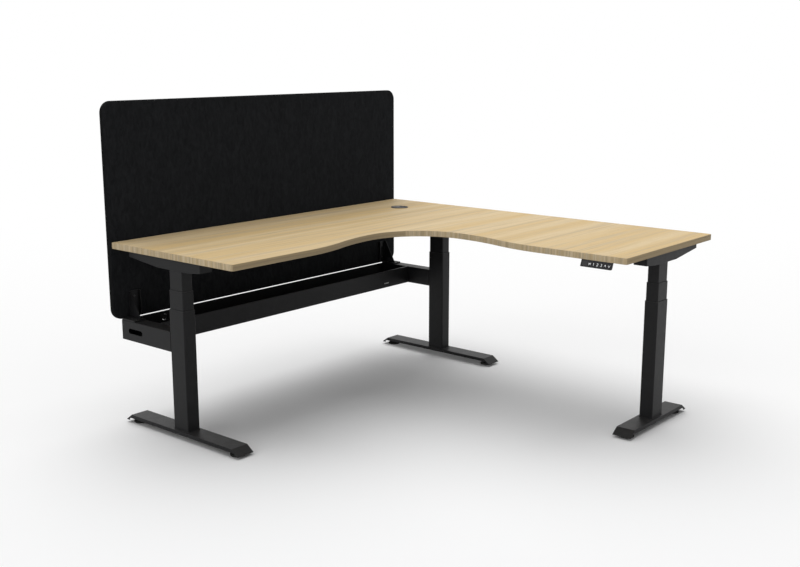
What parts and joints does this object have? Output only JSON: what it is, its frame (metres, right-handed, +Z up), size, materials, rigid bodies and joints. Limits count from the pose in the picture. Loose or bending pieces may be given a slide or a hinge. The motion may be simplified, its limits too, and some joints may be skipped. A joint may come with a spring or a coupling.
{
  "type": "cubicle workstation",
  "caption": "L-shaped electric sit-stand desk with a light oak top on telescopic columns, a dark felt screen, a cable tray, a handset and a cable grommet.",
  "frame": {"origin": "on the floor, under the middle of the object's box", "axes": "+X along the screen toward the return's side, +Y toward the screen's back, +Z up"},
  "size_m": [1.808, 1.826, 1.354],
  "materials": {
    "powder_coat_black": "satin black powder coat with a fine texture",
    "melamine_oak": "light oak melamine, matt, long soft streaks along the screen",
    "edge_band_oak": "light oak edge band, matt",
    "felt_charcoal": "pressed felt, almost black, faintly mottled",
    "plastic_black": "matt black moulded plastic",
    "plastic_grey": "matt mid grey moulded plastic",
    "display_black": "dark glossy window",
    "steel_zinc": "bright zinc plated steel",
    "steel_blackened": "blackened steel screws",
    "motor_case": "black painted motor and gearbox case"
  },
  "bodies": {
    "frame": {"foot_left": "powder_coat_black", "outer_tube_left": "powder_coat_black", "foot_corner": "powder_coat_black", "outer_tube_corner": "powder_coat_black", "foot_return": "powder_coat_black", "outer_tube_return": "powder_coat_black", "outer_bushes": "plastic_black", "lift_rods": "steel_zinc", "foot_bolts": "steel_zinc", "side_arm_left": "powder_coat_black", "side_arm_corner": "powder_coat_black", "arm_caps": "plastic_black", "cable_tray": "powder_coat_black", "tray_port_bush": "plastic_black", "tray_screws": "steel_blackened", "screen_panel": "felt_charcoal", "screen_bracket_left": "powder_coat_black", "screen_bracket_corner": "powder_coat_black", "screen_screws": "steel_blackened"},
    "top": {"inner_tube_left": "powder_coat_black", "top_bracket_left": "powder_coat_black", "inner_tube_corner": "powder_coat_black", "top_bracket_corner": "powder_coat_black", "inner_tube_return": "powder_coat_black", "top_bracket_return": "powder_coat_black", "worktop": "melamine_oak", "edge_band": "edge_band_oak", "drive_units": "motor_case", "drive_screws": "steel_blackened", "drive_tubes": "steel_zinc", "lift_nuts": "steel_zinc", "main_rails": "powder_coat_black", "return_rails": "powder_coat_black", "control_box": "plastic_black", "worktop_screws": "steel_zinc", "handset_case": "plastic_black", "handset_display": "display_black", "grommet_ring": "plastic_grey"},
    "grommet_cap_body": {"grommet_cap": "plastic_grey"},
    "middle_stage_left": {"middle_tube_left": "powder_coat_black", "middle_bush_left": "plastic_black", "lift_screw_left": "steel_zinc"},
    "glide_left_front_body": {"glide_left_front": "plastic_black"},
    "glide_left_back_body": {"glide_left_back": "plastic_black"},
    "middle_stage_corner": {"middle_tube_corner": "powder_coat_black", "middle_bush_corner": "plastic_black", "lift_screw_corner": "steel_zinc"},
    "glide_corner_front_body": {"glide_corner_front": "plastic_black"},
    "glide_corner_back_body": {"glide_corner_back": "plastic_black"},
    "middle_stage_return": {"middle_tube_return": "powder_coat_black", "middle_bush_return": "plastic_black", "lift_screw_return": "steel_zinc"},
    "glide_return_front_body": {"glide_return_front": "plastic_black"},
    "glide_return_back_body": {"glide_return_back": "plastic_black"},
    "key_memory_body": {"key_memory": "plastic_black"},
    "key_one_body": {"key_one": "plastic_black"},
    "key_two_body": {"key_two": "plastic_black"},
    "key_three_body": {"key_three": "plastic_black"},
    "key_up_body": {"key_up": "plastic_black"},
    "key_down_body": {"key_down": "plastic_black"}
  },
  "joints": [
    {"name": "lift", "type": "slide", "parent": "frame", "child": "top", "axis": [0, 0, 1], "range_m": [-0.13, 0.515]},
    {"name": "middle_slide_left", "type": "slide", "parent": "frame", "child": "middle_stage_left", "axis": [0, 0, 1], "range_m": [-0.065, 0.2575]},
    {"name": "middle_slide_corner", "type": "slide", "parent": "frame", "child": "middle_stage_corner", "axis": [0, 0, 1], "range_m": [-0.065, 0.2575]},
    {"name": "middle_slide_return", "type": "slide", "parent": "frame", "child": "middle_stage_return", "axis": [0, 0, 1], "range_m": [-0.065, 0.2575]},
    {"name": "grommet_cap_turn", "type": "hinge", "parent": "top", "child": "grommet_cap_body", "pos_m": [0.666, 0.653, 0.78], "axis": [0, 0, 1], "continuous": true},
    {"name": "key_memory_press", "type": "slide", "parent": "top", "child": "key_memory_body", "axis": [0.9272, 0, -0.3746], "range_m": [0, 0.0008], "stiffness_N_per_m": 200, "springref_m": -0.003},
    {"name": "key_one_press", "type": "slide", "parent": "top", "child": "key_one_body", "axis": [0.9272, 0, -0.3746], "range_m": [0, 0.0008], "stiffness_N_per_m": 200, "springref_m": -0.003},
    {"name": "key_two_press", "type": "slide", "parent": "top", "child": "key_two_body", "axis": [0.9272, 0, -0.3746], "range_m": [0, 0.0008], "stiffness_N_per_m": 200, "springref_m": -0.003},
    {"name": "key_three_press", "type": "slide", "parent": "top", "child": "key_three_body", "axis": [0.9272, 0, -0.3746], "range_m": [0, 0.0008], "stiffness_N_per_m": 200, "springref_m": -0.003},
    {"name": "key_up_press", "type": "slide", "parent": "top", "child": "key_up_body", "axis": [0.9272, 0, -0.3746], "range_m": [0, 0.0008], "stiffness_N_per_m": 200, "springref_m": -0.003},
    {"name": "key_down_press", "type": "slide", "parent": "top", "child": "key_down_body", "axis": [0.9272, 0, -0.3746], "range_m": [0, 0.0008], "stiffness_N_per_m": 200, "springref_m": -0.003},
    {"name": "glide_screw_left_front", "type": "slide", "parent": "frame", "child": "glide_left_front_body", "axis": [0, 0, -1], "range_m": [0, 0.01]},
    {"name": "glide_screw_left_back", "type": "slide", "parent": "frame", "child": "glide_left_back_body", "axis": [0, 0, -1], "range_m": [0, 0.01]},
    {"name": "glide_screw_corner_front", "type": "slide", "parent": "frame", "child": "glide_corner_front_body", "axis": [0, 0, -1], "range_m": [0, 0.01]},
    {"name": "glide_screw_corner_back", "type": "slide", "parent": "frame", "child": "glide_corner_back_body", "axis": [0, 0, -1], "range_m": [0, 0.01]},
    {"name": "glide_screw_return_front", "type": "slide", "parent": "frame", "child": "glide_return_front_body", "axis": [0, 0, -1], "range_m": [0, 0.01]},
    {"name": "glide_screw_return_back", "type": "slide", "parent": "frame", "child": "glide_return_back_body", "axis": [0, 0, -1], "range_m": [0, 0.01]}
  ],
  "couplings": [
    {"joint": "middle_slide_left", "follows": "lift", "ratio": 0.5},
    {"joint": "middle_slide_corner", "follows": "lift", "ratio": 0.5},
    {"joint": "middle_slide_return", "follows": "lift", "ratio": 0.5}
  ]
}
